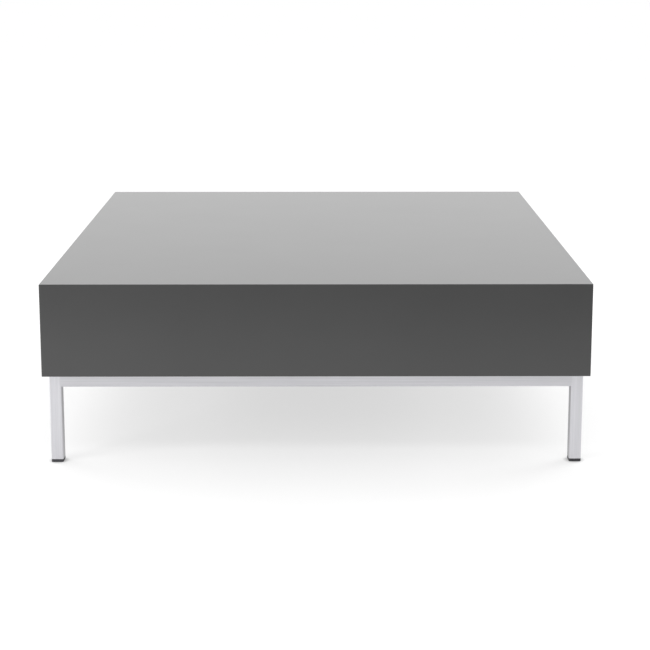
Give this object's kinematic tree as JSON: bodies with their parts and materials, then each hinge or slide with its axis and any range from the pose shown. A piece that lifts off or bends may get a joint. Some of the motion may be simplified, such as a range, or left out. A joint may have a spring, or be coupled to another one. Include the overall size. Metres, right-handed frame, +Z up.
{
  "type": "coffee table",
  "caption": "Low square coffee table: a thick, hollow, lacquered block with mitred corners on a slim base of square steel tube.",
  "frame": {"origin": "on the floor, under the middle of the table", "axes": "+Z up, +X to the right across the front, +Y from the front to the back; the front is at -Y"},
  "size_m": [0.9, 0.9, 0.305],
  "materials": {
    "lacquer": "satin grey lacquer on fibreboard",
    "fibreboard": "raw medium-density fibreboard",
    "softwood": "planed pine",
    "plywood": "sanded birch plywood",
    "frame_steel": "brushed along each tube",
    "bolt_steel": "bright zinc plate",
    "brass": "machined",
    "black_plastic": "moulded, fine matt grain"
  },
  "bodies": {
    "root": {"top_panel": "lacquer", "bottom_panel": "lacquer", "front_panel": "lacquer", "right_panel": "lacquer", "back_panel": "lacquer", "left_panel": "lacquer", "cross_rib_1": "fibreboard", "cross_rib_2": "fibreboard", "long_rib_1": "fibreboard", "long_rib_2": "fibreboard", "corner_block_front_left": "softwood", "corner_block_front_right": "softwood", "corner_block_back_right": "softwood", "corner_block_back_left": "softwood", "corner_spline_front_left": "plywood", "corner_spline_front_right": "plywood", "corner_spline_back_right": "plywood", "corner_spline_back_left": "plywood", "top_spline_front": "plywood", "top_spline_right": "plywood", "top_spline_back": "plywood", "top_spline_left": "plywood", "leg_front_left": "frame_steel", "leg_front_right": "frame_steel", "leg_back_right": "frame_steel", "leg_back_left": "frame_steel", "rail_front": "frame_steel", "rail_right": "frame_steel", "rail_back": "frame_steel", "rail_left": "frame_steel", "corner_plate_front_left": "frame_steel", "corner_plate_front_right": "frame_steel", "corner_plate_back_right": "frame_steel", "corner_plate_back_left": "frame_steel", "glide_front_left": "black_plastic", "glide_front_right": "black_plastic", "glide_back_right": "black_plastic", "glide_back_left": "black_plastic", "bolt_front_left_a": "bolt_steel", "bolt_front_left_b": "bolt_steel", "bolt_front_right_a": "bolt_steel", "bolt_front_right_b": "bolt_steel", "bolt_back_right_a": "bolt_steel", "bolt_back_right_b": "bolt_steel", "bolt_back_left_a": "bolt_steel", "bolt_back_left_b": "bolt_steel", "insert_front_left_a": "brass", "insert_front_left_b": "brass", "insert_front_right_a": "brass", "insert_front_right_b": "brass", "insert_back_right_a": "brass", "insert_back_right_b": "brass", "insert_back_left_a": "brass", "insert_back_left_b": "brass"}
  },
  "joints": []
}
